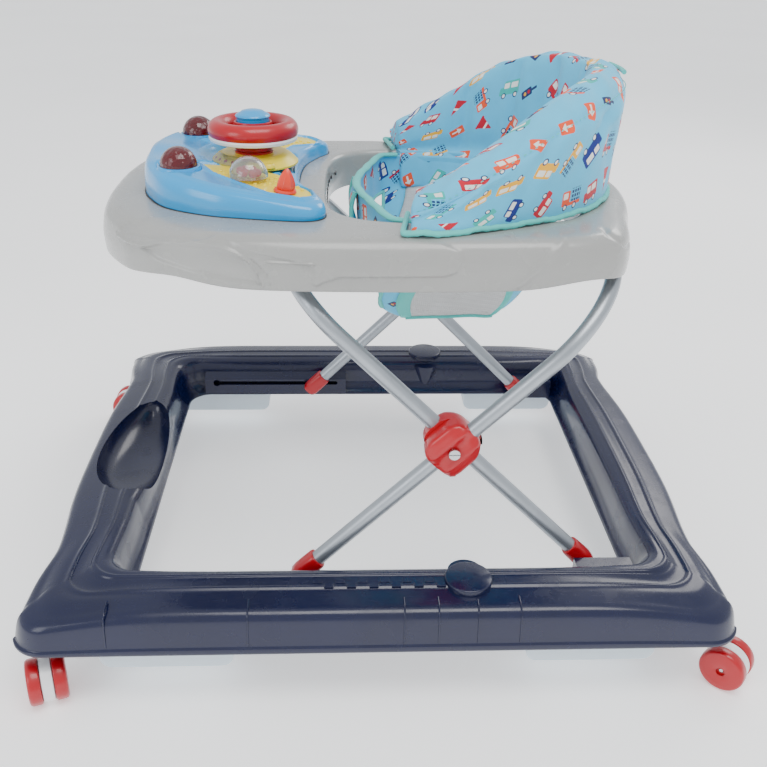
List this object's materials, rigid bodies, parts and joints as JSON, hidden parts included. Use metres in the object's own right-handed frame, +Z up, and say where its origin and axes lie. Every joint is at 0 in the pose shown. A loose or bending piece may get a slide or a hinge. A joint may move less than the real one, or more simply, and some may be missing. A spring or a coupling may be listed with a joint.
{
  "type": "baby walker",
  "caption": "Baby walker: castored base ring, folding scissor frame, play tray with toy steering wheel, and hanging padded seat.",
  "frame": {"origin": "centre of the footprint on the floor", "axes": "+Z up, -X towards the front (toy tray), -Y towards the left side, +X the longest side"},
  "size_m": [0.7659, 0.6422, 0.568],
  "materials": {
    "navy_plastic": "gloss",
    "pad_plastic": "satin, slightly translucent",
    "white_plastic": "gloss",
    "silver_tube": "satin silver powder coat",
    "steel": "zinc plated",
    "red_plastic": "satin",
    "grey_plastic": "gloss, slightly translucent",
    "blue_plastic": "gloss",
    "maroon_lens": "gloss, tinted",
    "yellow_plastic": "gloss",
    "clear_plastic": "clear",
    "orange_plastic": "gloss",
    "module_plastic": "matt",
    "seat_fabric": "printed woven cotton over padding"
  },
  "bodies": {
    "base": {"base_shell": "navy_plastic", "slide_track_left": "navy_plastic", "slide_track_right": "navy_plastic", "pivot_bracket_left": "navy_plastic", "pivot_bracket_right": "navy_plastic", "pivot_pins": "steel", "rail_stop_left": "navy_plastic", "rail_stop_right": "navy_plastic", "skid_pad_front_left": "pad_plastic", "skid_pad_front_right": "pad_plastic", "skid_pad_rear_left": "pad_plastic", "skid_pad_rear_right": "pad_plastic", "castor_sockets": "white_plastic"},
    "inner_frame": {"inner_frame_tube": "silver_tube", "foot_sleeve_left": "red_plastic", "foot_sleeve_right": "red_plastic", "joint_cap_inner_left": "red_plastic", "joint_cap_inner_right": "red_plastic"},
    "outer_frame": {"outer_frame_tube": "silver_tube", "slider_sleeve_left": "red_plastic", "slider_sleeve_right": "red_plastic", "slide_pins": "steel", "joint_cap_outer_left": "red_plastic", "joint_cap_outer_right": "red_plastic", "pivot_screws": "steel"},
    "tray": {"tray_shell": "grey_plastic", "bar_rack_left": "grey_plastic", "bar_rack_right": "grey_plastic", "rear_saddles": "grey_plastic", "toy_panel": "blue_plastic", "headlight_left": "maroon_lens", "headlight_right": "maroon_lens", "dash_inlay_left": "yellow_plastic", "dash_inlay_right": "yellow_plastic", "bead_dome": "clear_plastic", "rattle_beads": "orange_plastic", "centre_mound": "yellow_plastic", "mound_window": "clear_plastic", "steering_column": "red_plastic", "sound_module": "module_plastic", "seat_cover": "seat_fabric"},
    "steering": {"steering_wheel": "red_plastic", "steering_underside": "white_plastic", "horn_spring": "steel"},
    "horn": {"horn_button": "blue_plastic"},
    "gear_knob": {"gear_knob": "orange_plastic"},
    "castor_front_left": {"castor_body_front_left": "white_plastic"},
    "wheels_front_left": {"castor_wheels_front_left": "red_plastic", "castor_axle_front_left": "steel"},
    "castor_front_right": {"castor_body_front_right": "white_plastic"},
    "wheels_front_right": {"castor_wheels_front_right": "red_plastic", "castor_axle_front_right": "steel"},
    "castor_rear_left": {"castor_body_rear_left": "white_plastic"},
    "wheels_rear_left": {"castor_wheels_rear_left": "red_plastic", "castor_axle_rear_left": "steel"},
    "castor_rear_right": {"castor_body_rear_right": "white_plastic"},
    "wheels_rear_right": {"castor_wheels_rear_right": "red_plastic", "castor_axle_rear_right": "steel"}
  },
  "joints": [
    {"name": "fold", "type": "hinge", "parent": "base", "child": "inner_frame", "pos_m": [0.22, 0, 0.084], "axis": [0, 1, 0], "range_deg": [-37, 4]},
    {"name": "scissor", "type": "hinge", "parent": "inner_frame", "child": "outer_frame", "pos_m": [0.07, 0, 0.234], "axis": [0, 1, 0], "range_deg": [-8.5, 74.5]},
    {"name": "tray_level", "type": "hinge", "parent": "outer_frame", "child": "tray", "pos_m": [0.23007, 0, 0.39407], "axis": [0, 1, 0], "range_deg": [-37.5, 4.5]},
    {"name": "steer", "type": "hinge", "parent": "tray", "child": "steering", "pos_m": [-0.13, 0, 0.495], "axis": [0, 0, 1], "continuous": true},
    {"name": "horn_press", "type": "slide", "parent": "steering", "child": "horn", "axis": [0, 0, 1], "range_m": [-0.003, 0], "stiffness_N_per_m": 400, "springref_m": 0.0005, "deforming": ["horn_spring"]},
    {"name": "knob_turn", "type": "hinge", "parent": "tray", "child": "gear_knob", "pos_m": [-0.09152, -0.116, 0.46401], "axis": [0.1191, 0, 0.9929], "range_deg": [-60, 60]},
    {"name": "swivel_front_left", "type": "hinge", "parent": "base", "child": "castor_front_left", "pos_m": [-0.336, -0.2715, 0.055], "axis": [0, 0, 1], "continuous": true},
    {"name": "roll_front_left", "type": "hinge", "parent": "castor_front_left", "child": "wheels_front_left", "pos_m": [-0.32779, -0.29405, 0.023], "axis": [0.9397, 0.342, 0], "continuous": true},
    {"name": "swivel_front_right", "type": "hinge", "parent": "base", "child": "castor_front_right", "pos_m": [-0.336, 0.2715, 0.055], "axis": [0, 0, 1], "continuous": true},
    {"name": "roll_front_right", "type": "hinge", "parent": "castor_front_right", "child": "wheels_front_right", "pos_m": [-0.35998, 0.27234, 0.023], "axis": [-0.0349, -0.9994, 0], "continuous": true},
    {"name": "swivel_rear_left", "type": "hinge", "parent": "base", "child": "castor_rear_left", "pos_m": [0.336, -0.2715, 0.055], "axis": [0, 0, 1], "continuous": true},
    {"name": "roll_rear_left", "type": "hinge", "parent": "castor_rear_left", "child": "wheels_rear_left", "pos_m": [0.35411, -0.28724, 0.023], "axis": [0.6561, 0.7547, 0], "continuous": true},
    {"name": "swivel_rear_right", "type": "hinge", "parent": "base", "child": "castor_rear_right", "pos_m": [0.336, 0.2715, 0.055], "axis": [0, 0, 1], "continuous": true},
    {"name": "roll_rear_right", "type": "hinge", "parent": "castor_rear_right", "child": "wheels_rear_right", "pos_m": [0.34421, 0.29405, 0.023], "axis": [-0.9397, 0.342, 0], "continuous": true}
  ],
  "couplings": [
    {"joint": "scissor", "follows": "fold", "ratio": -2},
    {"joint": "tray_level", "follows": "fold", "ratio": 1}
  ]
}
